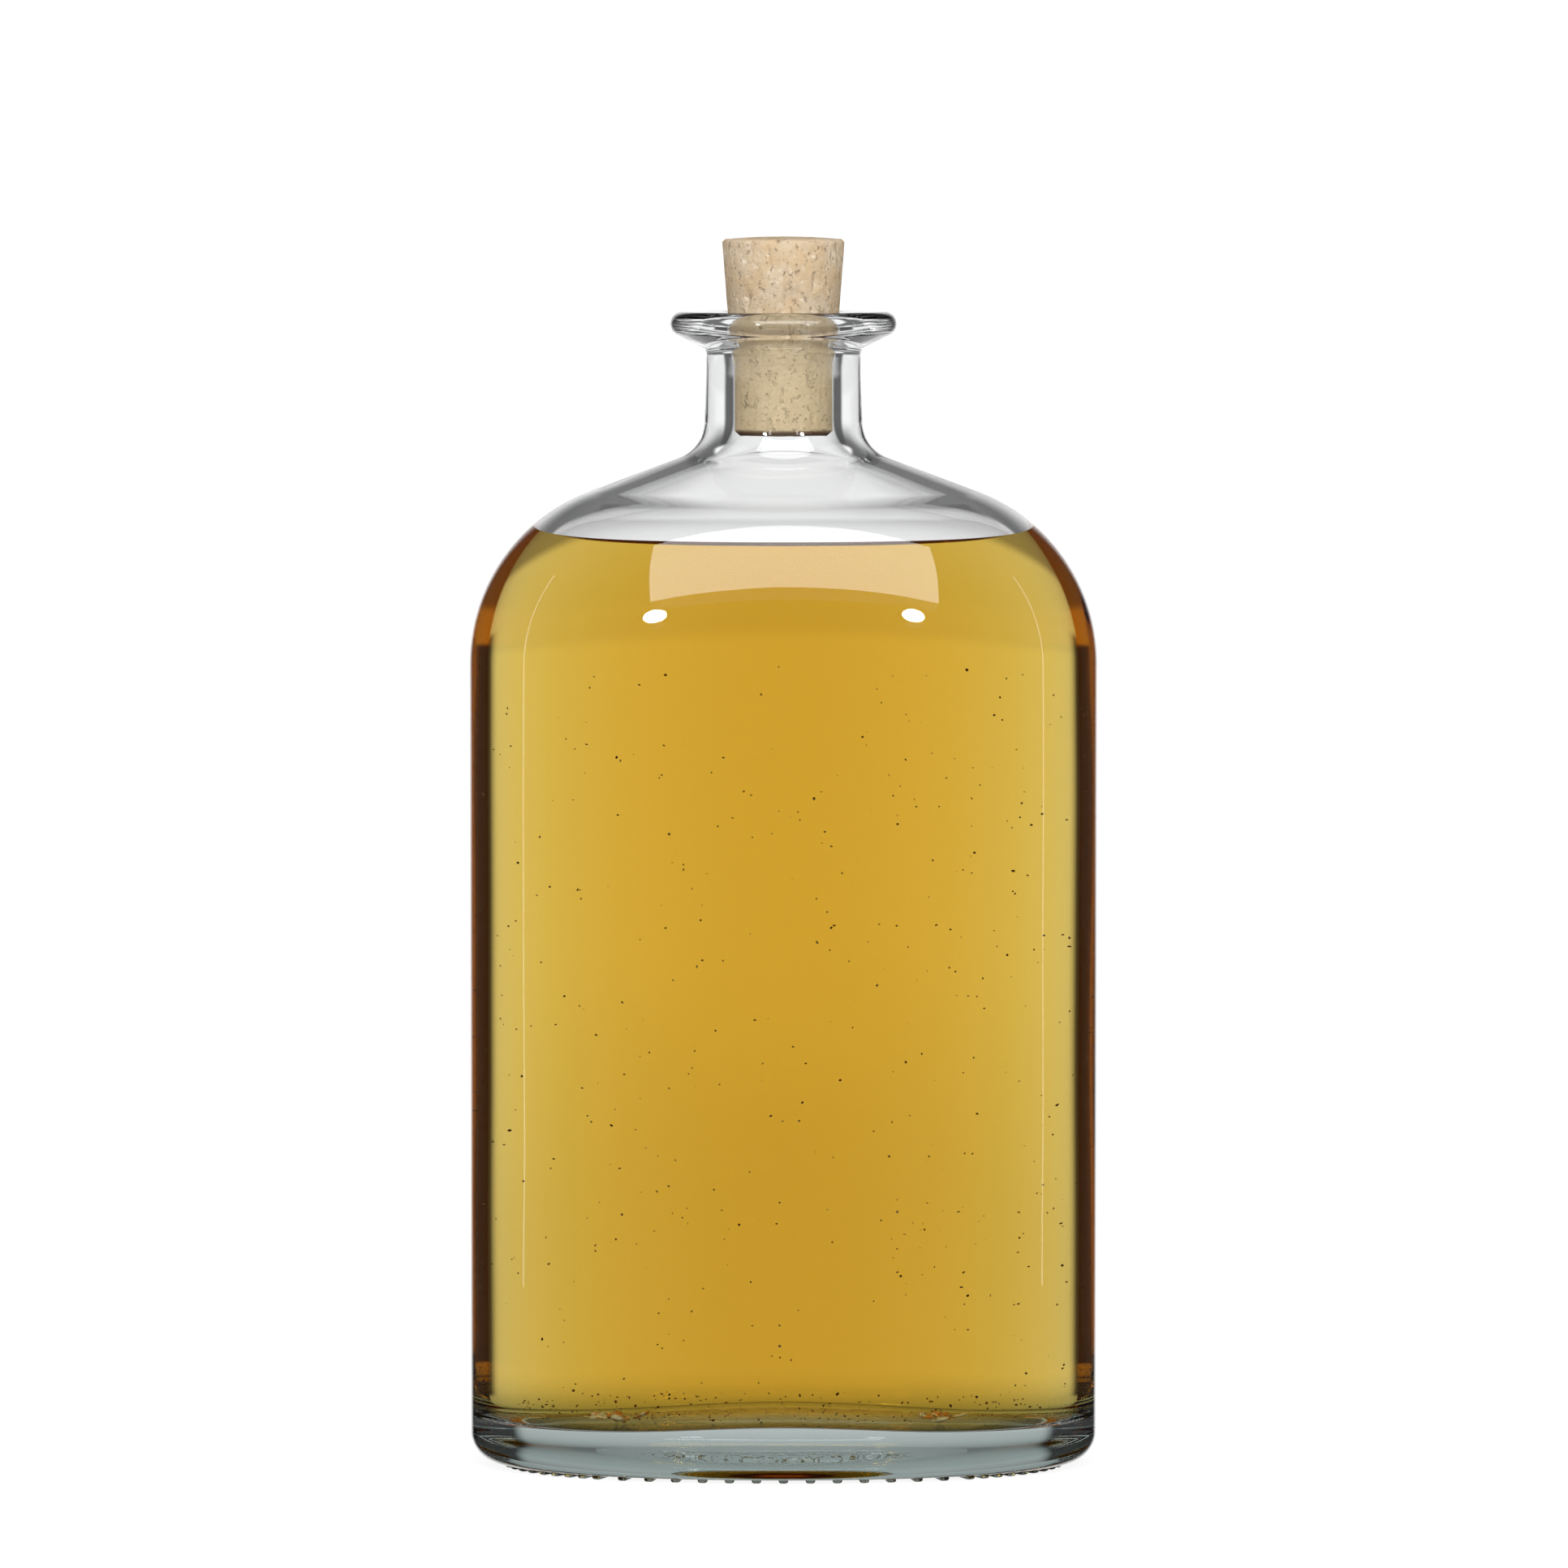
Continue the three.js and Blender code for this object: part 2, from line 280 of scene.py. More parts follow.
class Graph:
    """Builds the node tree of a material or of the world."""

    def __init__(self, owner):
        owner.use_nodes = True
        self.tree = owner.node_tree
        self.tree.nodes.clear()

    def add(self, kind, settings=None, inputs=None, output=0):
        node = self.tree.nodes.new(kind)
        for key, value in (settings or {}).items():
            setattr(node, key, value)
        for key, value in (inputs or {}).items():
            if isinstance(value, Socket):
                self.tree.links.new(value.socket, node.inputs[key])
            else:
                node.inputs[key].default_value = value
        return Socket(self, node.outputs[output]) if node.outputs else node

    def outputs(self, socket, *names):
        """Other outputs of the node that a socket belongs to."""
        return [Socket(self, socket.socket.node.outputs[name]) for name in names]

    def place(self):
        return self.add("ShaderNodeTexCoord", output="Object")

    def scaled(self, place, scale):
        return self.add("ShaderNodeMapping", None, {"Vector": place, "Scale": scale})

    def split(self, vector):
        first = self.add("ShaderNodeSeparateXYZ", None, {"Vector": vector})
        return self.outputs(first, "X", "Y", "Z")

    def reach(self, x, y):
        return (x * x + y * y).maths("SQRT")

    def noise(self, place, scale, detail=2.0, roughness=0.5):
        return self.add(
            "ShaderNodeTexNoise", None,
            {"Vector": place, "Scale": scale, "Detail": detail, "Roughness": roughness},
            "Fac")

    def mix(self, share, first, second):
        return self.add(
            "ShaderNodeMix", {"data_type": "RGBA"}, {0: share, 6: first, 7: second}, 2)

    def mix_shaders(self, share, first, second):
        return self.add("ShaderNodeMixShader", None, {0: share, 1: first, 2: second})

    def bump(self, height, strength, distance):
        return self.add(
            "ShaderNodeBump", None,
            {"Height": height, "Strength": strength, "Distance": distance})


def rgba(value):
    return (*value, 1.0)


def new_material(name):
    material = bpy.data.materials.new(name)
    return material, Graph(material)


def finish_material(graph, surface, volume=None):
    inputs = {"Surface": surface}
    if volume:
        inputs["Volume"] = volume
    graph.add("ShaderNodeOutputMaterial", None, inputs)


def glass_material(name, ior, tint):
    """Clear glass; the index is the one against what touches the surface."""
    material, g = new_material(name)
    place = g.place()
    x, y, height = g.split(place)
    low = 1.0 - height.step(*TINT_FADE)
    shade = g.mix(low, THIN_GLASS, rgba(tint))
    ripple = g.noise(g.scaled(place, (1, 1, 0.35)), scale=38, detail=1.0)
    smear = g.noise(place, scale=160, detail=3.0).step(0.62, 0.8) * 0.02
    patch = x.between(*STIPPLE_ACROSS) * y.between(*STIPPLE_DEEP)
    patch = patch * (1.0 - height.step(*STIPPLE_TOP))
    stipple = g.noise(place, scale=1300, detail=1.0).step(0.42, 0.62) * patch
    shader = g.add("ShaderNodeBsdfPrincipled", None, {
        "Base Color": shade, "Roughness": smear, "IOR": ior, "Transmission Weight": 1.0,
        "Normal": g.bump(ripple + stipple * 0.5, strength=0.25, distance=1.2 * MM)})
    finish_material(g, shader)
    return material


def liquid_material(hue, density):
    """Its free surface bends light; its sides are the glass wall's own."""
    material, g = new_material("amber_liquid_fill")
    place = g.place()
    top = g.add("ShaderNodeAttribute", {"attribute_name": FREE_SURFACE}, output="Fac")
    cloud = g.noise(place, scale=30, detail=1.0)
    free = g.add("ShaderNodeBsdfPrincipled", None, {
        "Base Color": g.mix(cloud, (0.97, 0.93, 0.80, 1), (0.99, 0.95, 0.84, 1)),
        "Roughness": 0.0, "IOR": LIQUID_IOR, "Transmission Weight": 1.0})
    clear = g.add("ShaderNodeBsdfTransparent")
    volume = g.add("ShaderNodeVolumeAbsorption", None, {
        "Color": rgba(hue), "Density": density})
    finish_material(g, g.mix_shaders(top, clear, free), volume)
    return material


def speck_material():
    material, g = new_material("speck")
    tone = g.noise(g.place(), scale=900, detail=1.0).step(0.35, 0.65)
    shader = g.add("ShaderNodeBsdfPrincipled", None, {
        "Base Color": g.mix(tone, *SPECK_TONES), "Roughness": 0.7})
    finish_material(g, shader)
    return material


def flake_material():
    material, g = new_material("pale_flake")
    tone = g.noise(g.place(), scale=500, detail=2.0).step(0.44, 0.56)
    shader = g.add("ShaderNodeBsdfPrincipled", None, {
        "Base Color": g.mix(tone, *FLAKE_TONES), "Roughness": 0.5})
    finish_material(g, shader)
    return material


def cork_material(settings, bottom, rim):
    """Grainy cork, with painted light that makes it paler and warmer where the neck holds it,
    and darker over its lowest millimetre or so.
    """
    material, g = new_material("natural_cork_grain")
    place = g.place()
    height = g.split(place)[2]
    grain = g.noise(place, scale=620, detail=5.0, roughness=0.7)
    streaks = g.noise(g.scaled(place, (1, 1, 0.5)), scale=300, detail=3.0, roughness=0.6)
    streaks = streaks.step(0.63, 0.70)
    cells = g.noise(g.scaled(place, (1, 1, 0.8)), scale=1100, detail=4.0, roughness=0.7)
    cells = cells.step(0.58, 0.68)
    broad = g.noise(place, scale=160, detail=3.0, roughness=0.6).step(0.38, 0.62)
    shaded = [c * k for c, k in zip(settings.base, CORK_SHADE)]
    tone = g.mix(broad, rgba(settings.base), rgba(shaded))
    tone = g.mix(grain.step(0.42, 0.72) * 0.4, tone, CORK_GRAIN_DARK)
    tone = g.mix((1.0 - grain.step(0.30, 0.46)) * 0.5, tone, CORK_GRAIN_PALE)
    tone = g.mix(streaks * 0.45, tone, rgba(settings.streak))
    tone = g.mix(cells * 0.3, tone, rgba(settings.streak))
    # Painted light: the cork inside the neck is painted paler and warmer
    inside = 1.0 - height.step(rim - 4 * MM, rim + 1 * MM)
    tone = g.mix(inside * 0.7, tone, CORK_PAINTED_LIGHT_IN_NECK)
    # The cork is darker over its lowest millimetre or so
    darkened = 1.0 - height.step(bottom + 0.5 * MM, bottom + 1.4 * MM)
    tone = g.mix(darkened, tone, rgba(settings.lower_part))
    relief = grain * 0.8 - streaks * 0.8 - cells * 0.7
    shader = g.add("ShaderNodeBsdfPrincipled", None, {
        "Base Color": tone, "Roughness": 0.82 - cells * 0.1,
        "Normal": g.bump(relief, strength=0.75, distance=0.6 * MM)})
    finish_material(g, shader)
    return material


def floor_material(near, far):
    """A white table that fades out between two distances from the bottle."""
    material, g = new_material("pale_floor")
    place = g.place()
    x, y = g.split(place)[:2]
    gone = g.reach(x, y).step(near, far)
    tone = g.noise(place, scale=3, detail=2.0)
    board = g.add("ShaderNodeBsdfPrincipled", None, {
        "Base Color": g.mix(tone, (0.86, 0.86, 0.86, 1), (0.89, 0.89, 0.89, 1)),
        "Roughness": 0.6})
    glow = g.add("ShaderNodeEmission", None, {"Color": (1, 1, 1, 1), "Strength": TABLE_GLOW})
    lit = g.mix_shaders(TABLE_GLOW_SHARE, board, glow)
    clear = g.add("ShaderNodeBsdfTransparent")
    finish_material(g, g.mix_shaders(gone, lit, clear))
    return material


def far_floor_material():
    material, g = new_material("pale_floor_far")
    tone = g.noise(g.place(), scale=2, detail=2.0)
    glow = g.add("ShaderNodeEmission", None, {
        "Color": g.mix(tone, (0.99, 0.99, 0.99, 1), (1, 1, 1, 1)), "Strength": SEEN_LEVEL})
    finish_material(g, glow)
    return material


# Profiles
def arc(centre_r, centre_z, radius, start, end, steps):
    turns = np.radians(np.linspace(start, end, steps + 1))
    return [(centre_r + radius * math.cos(t), centre_z + radius * math.sin(t)) for t in turns]


class Form:
    """The bottle's sections and profiles, worked out from the settings."""

    def __init__(self, s):
        self.s = s
        self.half = s.width / 2
        self.neck = s.neck / 2
        self.bore = s.bore / 2
        self.mouth = s.mouth / 2
        self.ring_outer = self.half - s.heel
        self.ring_inner = self.ring_outer - s.ring
        root = self.bend_z(self.half, s.shoulder, self.neck + s.neck_flare, s.neck_fillet)
        self.lip_top = root + s.neck_length
        self.waist = self.lip_top - NECK_WAIST_DROP
        self.floor_z = s.knurl_height + s.push_up + s.floor - s.floor_crown
        self.outside = (self.neck, self.half, s.depth / 2)

    def inside(self, inset):
        return (self.bore - inset, self.half - self.s.wall - inset,
                self.s.depth / 2 - self.s.wall - inset)

    def bend_z(self, wide, shoulder, neck, fillet):
        """Height where the bend from the shoulder ends in the upright neck."""
        run = neck + fillet - (wide - shoulder)
        reach = shoulder + fillet - run * math.sin(self.s.slope)
        return self.s.body_height + reach / math.cos(self.s.slope)

    def shoulder(self, wide, shoulder, neck, fillet):
        slope = math.degrees(self.s.slope)
        bend = self.bend_z(wide, shoulder, neck, fillet)
        return [
            *arc(wide - shoulder, self.s.body_height, shoulder, 0, 90 - slope, steps=26),
            *arc(neck + fillet, bend, fillet, 270 - slope, 180, steps=12)]

    def underside(self):
        s = self.s
        start = self.ring_inner - s.bend
        steps = 12
        points = [(0, s.knurl_height + s.push_up)]
        for i in range(steps + 1):
            share = i / steps
            rise = 0.5 + 0.5 * math.cos(math.pi * share)
            points.append((start + s.bend * share, s.knurl_height + s.push_up * rise))
        points.append((self.ring_outer, s.knurl_height))
        return points

    def lip(self):
        s = self.s
        edge_r = s.lip / 2 - s.lip_edge
        edge_z = self.lip_top - s.lip_edge
        slope = math.radians(LIP_SLOPE)
        fillet_r = self.neck + s.lip_fillet
        span = s.lip_edge + s.lip_fillet + (edge_r - fillet_r) * math.sin(slope)
        fillet_z = edge_z - span / math.cos(slope)
        return [
            *arc(fillet_r, fillet_z, s.lip_fillet, 180, 90 + LIP_SLOPE, steps=6),
            *arc(edge_r, edge_z, s.lip_edge, LIP_SLOPE - 90, 90, steps=16)]

    def outer_profile(self):
        s = self.s
        mouth_edge = self.mouth + s.mouth_round
        return [
            *self.underside(),
            *arc(self.ring_outer, s.knurl_height + s.heel, s.heel, -90, 0, steps=14)[1:],
            *self.shoulder(self.half, s.shoulder, self.neck + s.neck_flare, s.neck_fillet),
            (self.neck, self.waist),
            *self.lip(),
            (mouth_edge, self.lip_top)]

    def hollow_profile(self, inset):
        s = self.s
        wide = self.half - s.wall - inset
        corner = s.floor_corner - inset
        flat = wide - corner
        return [
            *((flat * out, self.floor_z + s.floor_crown * left + inset)
              for out, left in CROWN_FALL),
            *arc(flat, self.floor_z + inset + corner, corner, -90, 0, steps=12),
            *self.shoulder(wide, s.shoulder - s.wall - inset, self.bore - inset,
                           s.throat_fillet + inset)]

    def inner_profile(self, level):
        s = self.s
        top = self.lip_top - s.mouth_round
        return [
            *split_at(self.hollow_profile(0), level),
            (self.bore, self.lip_top - s.mouth_depth),
            (self.mouth, top),
            *arc(self.mouth + s.mouth_round, top, s.mouth_round, 180, 90, steps=5)[1:]]


def split_at(points, level):
    """Adds a point to a rising profile at the given height."""
    out = [points[0]]
    for low, high in zip(points, points[1:]):
        if low[1] < level < high[1]:
            share = (level - low[1]) / (high[1] - low[1])
            out.append((low[0] + (high[0] - low[0]) * share, level))
        out.append(high)
    return out


def oval_point(section, radius, angle):
    """Where a point of the round profile lies on the oval body."""
    circle, wide, deep = section
    share = max(0.0, (radius - circle) / (wide - circle))
    across = radius if radius <= circle else circle + (deep - circle) * share
    fullness = BODY_FULLNESS * share
    c, s = math.cos(angle), math.sin(angle)
    return (radius * c * (1 + fullness * s * s), across * s * (1 + fullness * c * c))


def revolve(bm, profile, steps):
    """Spins a profile of (radius, height) points round Z and returns its vertices."""
    verts = [bm.verts.new((r, 0, z)) for r, z in profile]
    edges = [bm.edges.new(pair) for pair in zip(verts, verts[1:])]
    before = set(bm.verts) - set(verts)
    bmesh.ops.spin(bm, geom=verts + edges, cent=(0, 0, 0), axis=(0, 0, 1),
                   angle=2 * math.pi, steps=steps, use_merge=True)
    new = [v for v in bm.verts if v not in before]
    bmesh.ops.remove_doubles(bm, verts=new, dist=SPIN_MERGE)
    return [v for v in bm.verts if v.is_valid and v not in before]


def close_seams(bm):
    bmesh.ops.remove_doubles(bm, verts=bm.verts, dist=MERGE)
    bmesh.ops.recalc_face_normals(bm, faces=bm.faces)


def make_oval(verts, section, round_above):
    """Squeezes a round form to the oval, except above a height."""
    for v in verts:
        if v.co.z < round_above:
            radius = math.hypot(v.co.x, v.co.y)
            v.co.x, v.co.y = oval_point(section, radius, math.atan2(v.co.y, v.co.x))


def swell_floor(verts, form):
    """Lifts the middle of the floor's upper face, where blown glass gathers."""
    for v in verts:
        above = min(1.0, max(0.0, (v.co.z - form.floor_z) / SWELL_FADE))
        across = math.exp(-(v.co.x / SWELL_REACH) ** 2)
        v.co.z += form.s.floor_swell * across * (1 - above) ** 2


def smooth(mesh, sharp_angle):
    mesh.shade_smooth()
    if sharp_angle:
        mesh.set_sharp_from_angle(angle=math.radians(sharp_angle))


def new_piece(name, bm, materials, sharp_angle=None):
    mesh = bpy.data.meshes.new(name)
    bm.to_mesh(mesh)
    bm.free()
    piece = bpy.data.objects.new(name, mesh)
    bpy.context.scene.collection.objects.link(piece)
    for material in materials:
        mesh.materials.append(material)
    smooth(mesh, sharp_angle)
    return piece


def knurl_distances(s, quarter):
    """Places of the knurls along the ring: coarse on the faces, fine round the ends."""
    coarse = s.knurl_pitch * COARSE_PITCHES
    fine = max(1, round((quarter - coarse) / s.knurl_end_pitch))
    one = [i * s.knurl_pitch for i in range(COARSE_PITCHES + 1)]
    one += [coarse + (quarter - coarse) * (i + 1) / fine for i in range(fine)]
    half = one + [2 * quarter - d for d in one[-2::-1]]
    return half + [d + 2 * quarter for d in half[1:-1]]


def knurl_places(form):
    """Middle, direction and length of each knurl of the bearing ring."""
    count = RING_DIVISIONS
    angles = [math.pi / 2 - 2 * math.pi * i / count for i in range(count + 1)]
    middle = (form.ring_outer + form.ring_inner) / 2
    line = np.array([oval_point(form.outside, middle, a) for a in angles])
    run = np.concatenate([[0], np.cumsum(np.hypot(*np.diff(line, axis=0).T))])
    places = []
    for distance in knurl_distances(form.s, run[-1] / 4):
        angle = float(np.interp(distance, run, angles))
        outer = Vector(oval_point(form.outside, form.ring_outer, angle))
        inner = Vector(oval_point(form.outside, form.ring_inner, angle))
        ahead = Vector(oval_point(form.outside, middle, angle - RING_NUDGE))
        behind = Vector(oval_point(form.outside, middle, angle + RING_NUDGE))
        along = ahead - behind
        places.append(((outer + inner) / 2, math.atan2(along.y, along.x),
                       (outer - inner).length))
    return places


def knurl_bars(form):
    """Rounded bars across the bearing ring, as one mesh of separate solids."""
    s = form.s
    bm = bmesh.new()
    tall = s.knurl_height + KNURL_SINK
    for middle, turn, reach in knurl_places(form):
        made = bmesh.ops.create_cube(bm, size=1.0)["verts"]
        place = (Matrix.Translation((middle.x, middle.y, tall / 2))
                 @ Matrix.Rotation(turn, 4, "Z")
                 @ Matrix.Diagonal((s.knurl_width, reach - KNURL_END_MARGIN, tall, 1)))
        bmesh.ops.transform(bm, matrix=place, verts=made)
        low = [v for v in made if v.co.z < KNURL_SINK]
        edges = {e for v in low for e in v.link_edges}
        bmesh.ops.bevel(bm, geom=[*low, *edges], offset=KNURL_ROUNDING,
                        offset_type="OFFSET", segments=4, profile=0.5, affect="EDGES",
                        material=-1, clamp_overlap=True)
    return bm


def unite(piece, other):
    """Joins another object to the piece with a boolean and removes that object."""
    modifier = piece.modifiers.new("join", "BOOLEAN")
    modifier.operation = "UNION"
    modifier.solver = "EXACT"
    modifier.object = other
    bpy.context.view_layer.update()
    graph = bpy.context.evaluated_depsgraph_get()
    result = bpy.data.meshes.new_from_object(piece.evaluated_get(graph))
    piece.modifiers.clear()
    old = piece.data
    piece.data = result
    bpy.data.meshes.remove(old)
    bpy.data.objects.remove(other)


def add_lump(bm, radius, divisions, spot, turn, shape):
    """A small ball, squeezed to a shape, turned and set at a spot."""
    made = bmesh.ops.create_icosphere(bm, subdivisions=divisions, radius=radius)["verts"]
    place = Matrix.Translation(spot) @ turn @ Matrix.Diagonal((*shape, 1))
    bmesh.ops.transform(bm, matrix=place, verts=made)


def speck_spot(form, level, rng):
    """A random place in the liquid; some specks lie low over the floor."""
    section = form.inside(SPECK_WALL_GAP)
    angle = rng.uniform(0, 2 * math.pi)
    radius = section[1] * rng.random() ** SPECK_CROWDING
    x, y = oval_point(section, radius, angle)
    if rng.random() < SETTLED_SHARE:
        z = form.floor_z + rng.uniform(*SETTLED_HEIGHT) * MM
        return (x * SETTLED_REACH, y * SETTLED_REACH, z)
    return (x, y, rng.uniform(form.floor_z + FLOATING_START, level - FLOATING_END))


def cork_dent(spot):
    """How far the cork's skin sinks at a spot, from its grain and its pits."""
    p = spot * CORK_GRAIN_SCALE
    grain = noise.noise(Vector((p.x, p.y, p.z * CORK_GRAIN_STRETCH)))
    pit = noise.noise(Vector((p.x * CORK_PIT_SCALE, p.y * CORK_PIT_SCALE,
                              p.z * CORK_PIT_STRETCH + CORK_PIT_SHIFT)))
    return (0.03 + 0.05 * grain + 1.4 * max(0.0, pit - CORK_PIT_EDGE)) * MM


# Operators
class BOTTLE_OT_glass(bpy.types.Operator):
    """Make the blown glass bottle with its knurled bearing ring"""

    bl_idname = "bottle.glass"
    bl_label = "Glass"

    def execute(self, context):
        s = context.scene.bottle_form
        fill = context.scene.bottle_liquid
        level = fill.level + fill.climb
        form = Form(s)
        bm = bmesh.new()
        outer = revolve(bm, form.outer_profile(), STEPS_ROUND)
        make_oval(outer, form.outside, form.waist)
        known = set(bm.faces)
        inner = revolve(bm, form.inner_profile(level), STEPS_ROUND)
        make_oval(inner, form.inside(0), form.waist)
        swell_floor(inner, form)
        for face in bm.faces:
            if face not in known and face.calc_center_median().z < level:
                face.material_index = 1
        close_seams(bm)
        dry = glass_material("clear_glass_dry", GLASS_IOR, s.tint)
        lower_part = glass_material("clear_glass_wet", GLASS_IOR / LIQUID_IOR, s.tint)
        glass = new_piece("blown_bottle", bm, [dry, lower_part])
        unite(glass, new_piece("knurls", knurl_bars(form), [dry]))
        smooth(glass.data, GLASS_SHARP_ANGLE)
        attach(glass, "bottle")
        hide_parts("bottle")
        return {"FINISHED"}


class BOTTLE_OT_liquid(bpy.types.Operator):
    """Fill the bottle, scatter the fine specks and heap the flakes on its floor"""

    bl_idname = "bottle.liquid"
    bl_label = "Liquid"

    def execute(self, context):
        s = context.scene.bottle_liquid
        form = Form(context.scene.bottle_form)
        edge_z = s.level + s.climb
        profile = split_at(form.hollow_profile(LIQUID_INSET), edge_z)
        wall = [p for p in profile if p[1] <= edge_z + 1e-9]
        edge_r = wall[-1][0]
        top = [(edge_r - CLIMB_REACH * share, s.level + s.climb * (1 - share) ** CLIMB_CURVE)
               for share in (k / CLIMB_STEPS for k in range(CLIMB_STEPS + 1))]
        bm = bmesh.new()
        verts = revolve(bm, wall, STEPS_ROUND)
        sides = set(bm.faces)
        verts += revolve(bm, [*top, (0, s.level)], STEPS_ROUND)
        free = bm.loops.layers.float_color.new(FREE_SURFACE)
        for face in bm.faces:
            shade = 0.0 if face in sides else 1.0
            for loop in face.loops:
                loop[free] = (shade, shade, shade, 1.0)
        make_oval(verts, form.inside(LIQUID_INSET), form.waist)
        swell_floor(verts, form)
        close_seams(bm)
        liquid = new_piece("liquid_fill", bm, [liquid_material(s.hue, s.density)],
                           LIQUID_SHARP_ANGLE)
        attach(liquid, "bottle")
        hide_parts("liquid")
        rng = random.Random(SPECK_SEED)
        self.specks(form, s, rng)
        self.flakes(form, rng)
        return {"FINISHED"}

    def specks(self, form, s, rng):
        bm = bmesh.new()
        for _ in range(s.specks):
            spot = speck_spot(form, s.level, rng)
            radius = rng.uniform(*SPECK_RADIUS) * MM
            shape = (rng.uniform(0.6, 1.6), rng.uniform(0.6, 1.4), rng.uniform(0.4, 1.2))
            turn = Matrix.Rotation(rng.uniform(0, 6.3), 4,
                                   Vector((rng.random(), rng.random(), rng.random())))
            add_lump(bm, radius, 1, spot, turn, shape)
        specks = new_piece("sediment_specks", bm, [speck_material()])
        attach(specks, "bottle")

    def flakes(self, form, rng):
        """Two small heaps of pale and orange flakes on the floor under the liquid, at the
        front.
        """
        bm = bmesh.new()
        floor = form.floor_z + form.s.floor_crown
        for middle in HEAP_MIDDLES:
            for _ in range(HEAP_FLAKES):
                spot = Vector((middle + rng.gauss(0, HEAP_SPREAD[0]),
                               HEAP_DEPTH + rng.gauss(0, HEAP_SPREAD[1]), 0)) * MM
                spot.z = floor + rng.uniform(*HEAP_HEIGHT) * MM
                shape = (rng.uniform(0.5, 1.8), rng.uniform(0.4, 1.2), rng.uniform(0.2, 0.6))
                tilt = Matrix.Rotation(rng.uniform(-0.9, 0.9), 4,
                                       Vector((rng.random(), 1, 0)))
                add_lump(bm, MM, 2, spot, tilt, shape)
        flakes = new_piece("floor_flakes", bm, [flake_material()])
        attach(flakes, "bottle")


class BOTTLE_OT_cork(bpy.types.Operator):
    """Make the tapered natural cork"""

    bl_idname = "bottle.cork"
    bl_label = "Cork"

    def execute(self, context):
        form = Form(context.scene.bottle_form)
        bottom, top = CORK_BOX[0][2], CORK_BOX[1][2]
        bm = bmesh.new()
        verts = revolve(bm, self.profile(form, bottom, top), CORK_STEPS_ROUND)
        bmesh.ops.recalc_face_normals(bm, faces=bm.faces)
        for v in verts:
            dent = cork_dent(v.co)
            if v.co.z >= top - 0.2 * MM:
                v.co.z -= dent * 0.8
            elif v.co.z > bottom + 0.3 * MM:
                shrink = 1 - dent / math.hypot(v.co.x, v.co.y)
                v.co.x *= shrink
                v.co.y *= shrink
            else:
                v.co.z += dent * 0.8
        material = cork_material(context.scene.bottle_cork, bottom, form.lip_top)
        cork = new_piece("cork", bm, [material], CORK_SHARP_ANGLE)
        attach(cork, "stopper")
        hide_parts("cork_stopper")
        return {"FINISHED"}

    def profile(self, form, bottom, top):
        """The cork's outline in short steps, so that its skin can be dented."""
        head = (CORK_BOX[1][0] - CORK_BOX[0][0]) / 2
        seat = form.bore - CORK_GAP
        corners = [
            (0, bottom),
            (seat - CORK_LOWER_CHAMFER, bottom),
            (seat, bottom + CORK_LOWER_CHAMFER),
            (seat, form.lip_top - form.s.mouth_depth),
            (form.mouth - CORK_GAP, form.lip_top),
            (head, top - CORK_CROWN - CORK_CHAMFER),
            (head - CORK_CHAMFER, top - CORK_CROWN),
            (head / 2, top - CORK_CROWN / 4),
            (0, top)]
        profile = [corners[0]]
        for a, b in zip(corners, corners[1:]):
            steps = max(1, round(math.hypot(b[0] - a[0], b[1] - a[1]) / CORK_STEP))
            profile += [(a[0] + (b[0] - a[0]) * k / steps, a[1] + (b[1] - a[1]) * k / steps)
                        for k in range(1, steps + 1)]
        return profile


def area_light(name, azimuth, elevation, distance, size, power, target, shape="RECTANGLE"):
    """A light aimed at a target; azimuth 0 is at the camera, positive to the right."""
    data = bpy.data.lights.new(name, "AREA")
    data.shape = shape
    data.size, data.size_y = size
    data.energy = power
    lamp = bpy.data.objects.new(name, data)
    a, e = math.radians(azimuth), math.radians(elevation)
    way = Vector((math.sin(a) * math.cos(e), -math.cos(a) * math.cos(e), math.sin(e)))
    lamp.location = Vector(target) + way * distance
    lamp.rotation_euler = (-way).to_track_quat("-Z", "Y").to_euler()
    lamp.visible_camera = False
    bpy.context.scene.collection.objects.link(lamp)
    return lamp


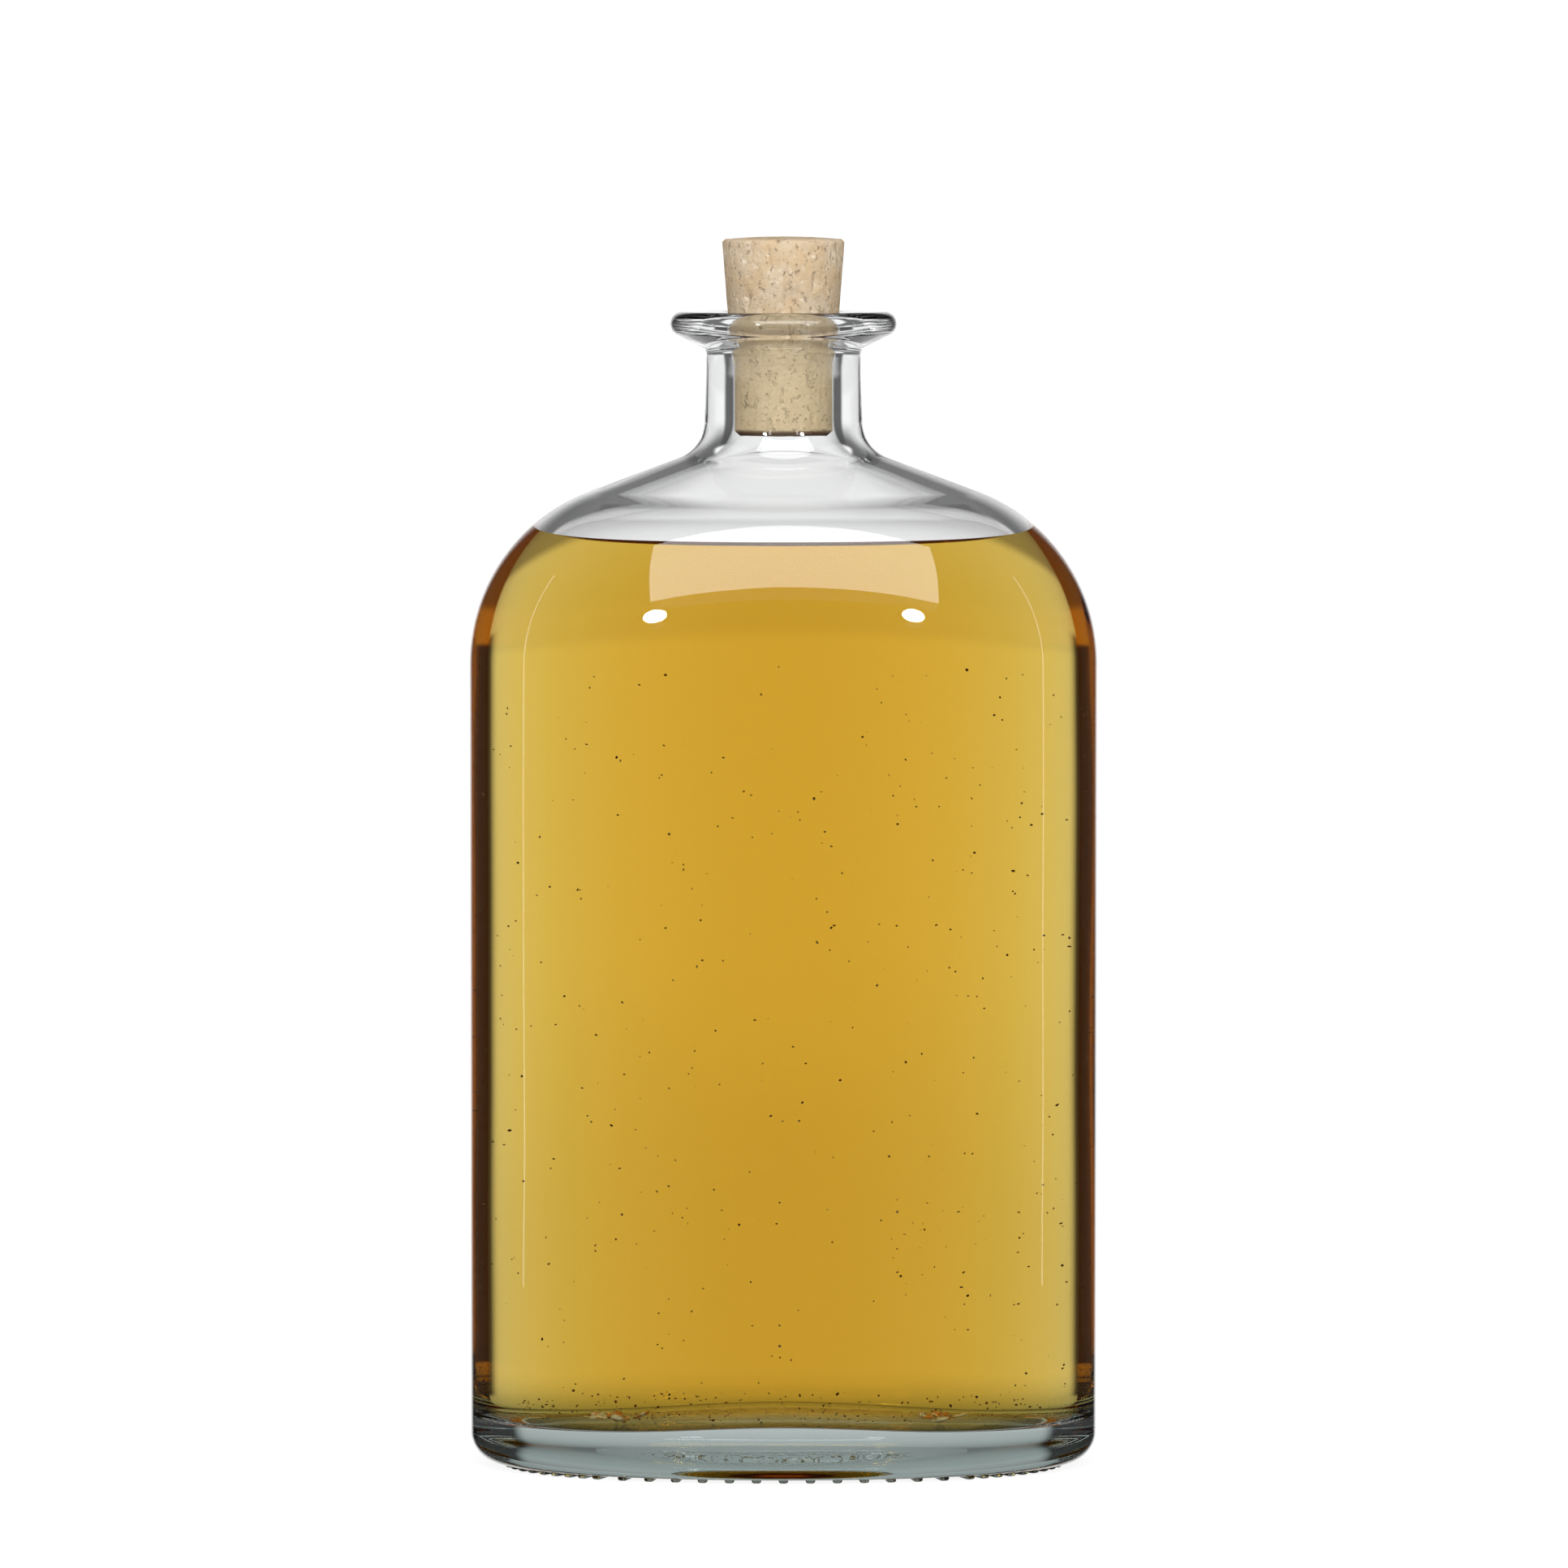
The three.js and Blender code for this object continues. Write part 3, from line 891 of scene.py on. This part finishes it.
class BOTTLE_OT_studio(bpy.types.Operator):
    """Set the floor, the surround, the lights and the camera"""

    bl_idname = "bottle.studio"
    bl_label = "Studio"

    def execute(self, context):
        s = context.scene.bottle_studio
        self.floors()
        self.world(context.scene, s)
        self.lights()
        self.camera(context.scene, s)
        self.quality(context.scene)
        return {"FINISHED"}

    def floors(self):
        """The near table, and the floor round it that only the camera sees."""
        for name, reach, z, material in (
                ("floor", TABLE_RADIUS, 0, floor_material(*TABLE_FADE)),
                ("far_floor", FAR_RADIUS, -FAR_DROP, far_floor_material())):
            bm = bmesh.new()
            bmesh.ops.create_circle(bm, cap_ends=True, segments=96, radius=reach)
            bmesh.ops.translate(bm, verts=bm.verts, vec=(0, 0, z))
            disc = new_piece(name, bm, [material])
            disc.visible_glossy = disc.visible_transmission = False
        disc.visible_diffuse = disc.visible_shadow = False

    def lights(self):
        """A softbox, two small lamps for the glints and two strips at the sides."""
        area_light("softbox", azimuth=3, elevation=36, distance=1.6, size=(1.83, 0.85),
                   power=25, target=LIGHT_TARGET)
        for side in (-1, 1):
            area_light(f"glint_{side}", azimuth=side * 25.6, elevation=13.8, distance=1.6,
                       size=(0.155, 0.11), power=3.0, target=LIGHT_TARGET, shape="ELLIPSE")
            strip = area_light(f"strip_{side}", azimuth=side * 75, elevation=0,
                               distance=0.26, size=(0.004, 0.29), power=0.012,
                               target=STRIP_TARGET)
            strip.visible_diffuse = strip.visible_transmission = False

    def surround(self, back, z):
        """What the bottle lets through and what it mirrors, by direction."""
        low = 1.0 - z.step(*CEILING_FALL) * CEILING_LOSS
        foot = BACKDROP_FOOT_LEVEL + z.step(*BACKDROP_FOOT) * (1.0 - BACKDROP_FOOT_LEVEL)
        behind = back.step(*BACKDROP_SIDES) * foot
        front = (1.0 - back.step(*FRONT_SIDES)) * FRONT_LEVEL
        overhead = z.step(*OVERHEAD_START) * (1.0 - back.step(*OVERHEAD_END))
        wall = (behind + front) * low * (1.0 - SIDE_LEVEL) + overhead * OVERHEAD_LEVEL
        wall = SIDE_LEVEL + wall
        table = 1.0 - z.step(*TABLE_EDGE)
        board = TABLE_LEVEL - (1.0 - z.step(*TABLE_SHADE)) * TABLE_LOSS
        through = wall * (1.0 - table) + board * table
        return through, MIRRORED_LEVEL + back.step(*MIRRORED_SIDES) * low

    def world(self, scene, s):
        """White to the camera, even to matt surfaces, and shaped for the glass."""
        world = bpy.data.worlds.new("studio")
        scene.world = world
        g = Graph(world)
        x, y, z = g.split(g.add("ShaderNodeTexCoord", output="Generated"))
        flat = g.reach(x, y).maths("MAXIMUM", 0.001)
        through, mirrored = self.surround(y.maths("DIVIDE", flat), z)
        seen, soft, passed = g.outputs(
            g.add("ShaderNodeLightPath"), "Is Camera Ray", "Is Diffuse Ray",
            "Is Transmission Ray")
        level = mirrored * (1.0 - passed) + through * passed
        level = level * s.backdrop * (1.0 - soft) + soft * SOFT_LEVEL
        level = level * (1.0 - seen) + seen * SEEN_LEVEL
        light = g.add("ShaderNodeBackground", None, {
            "Color": (1, 1, 1, 1), "Strength": level})
        g.add("ShaderNodeOutputWorld", None, {"Surface": light})

    def camera(self, scene, s):
        """A camera at the photograph's viewing angle, at the photograph's scale."""
        data = bpy.data.cameras.new("camera")
        camera = bpy.data.objects.new("camera", data)
        scene.collection.objects.link(camera)
        camera.location = (0, -s.distance, s.height)
        way = Vector(CAMERA_AIM) - camera.location
        camera.rotation_euler = way.to_track_quat("-Z", "Y").to_euler()
        data.sensor_width = CAMERA_SENSOR
        data.lens = CAMERA_SENSOR * PHOTO_SCALE * s.distance / MM / PHOTO_WIDTH
        data.clip_end = 60
        scene.camera = camera

    def quality(self, scene):
        scene.view_settings.view_transform = "Standard"
        cycles = scene.cycles
        cycles.max_bounces = 32
        cycles.transmission_bounces = 28
        cycles.glossy_bounces = 8
        cycles.transparent_max_bounces = 24
        cycles.sample_clamp_indirect = 6
        cycles.use_denoising = True


class BOTTLE_PT_panel(bpy.types.Panel):
    bl_label = "Bottle"
    bl_space_type = "VIEW_3D"
    bl_region_type = "UI"
    bl_category = "Bottle"

    def draw(self, context):
        for kind in OPERATORS:
            self.layout.operator(kind.bl_idname)
        for name in GROUPS:
            group = getattr(context.scene, name)
            box = self.layout.box()
            for key in type(group).__annotations__:
                box.prop(group, key)


GROUPS = {
    "bottle_form": BottleSettings,
    "bottle_liquid": LiquidSettings,
    "bottle_cork": CorkSettings,
    "bottle_studio": StudioSettings,
}
OPERATORS = (BOTTLE_OT_glass, BOTTLE_OT_liquid, BOTTLE_OT_cork, BOTTLE_OT_studio)


def register():
    for kind in (*GROUPS.values(), *OPERATORS, BOTTLE_PT_panel):
        bpy.utils.register_class(kind)
    for name, group in GROUPS.items():
        setattr(bpy.types.Scene, name, PointerProperty(type=group))


def unregister():
    for name in GROUPS:
        delattr(bpy.types.Scene, name)
    for kind in (BOTTLE_PT_panel, *reversed(OPERATORS), *GROUPS.values()):
        bpy.utils.unregister_class(kind)


def main():
    register()
    for kind in OPERATORS:
        group, name = kind.bl_idname.split(".")
        getattr(getattr(bpy.ops, group), name)()


if __name__ == "__main__":
    main()
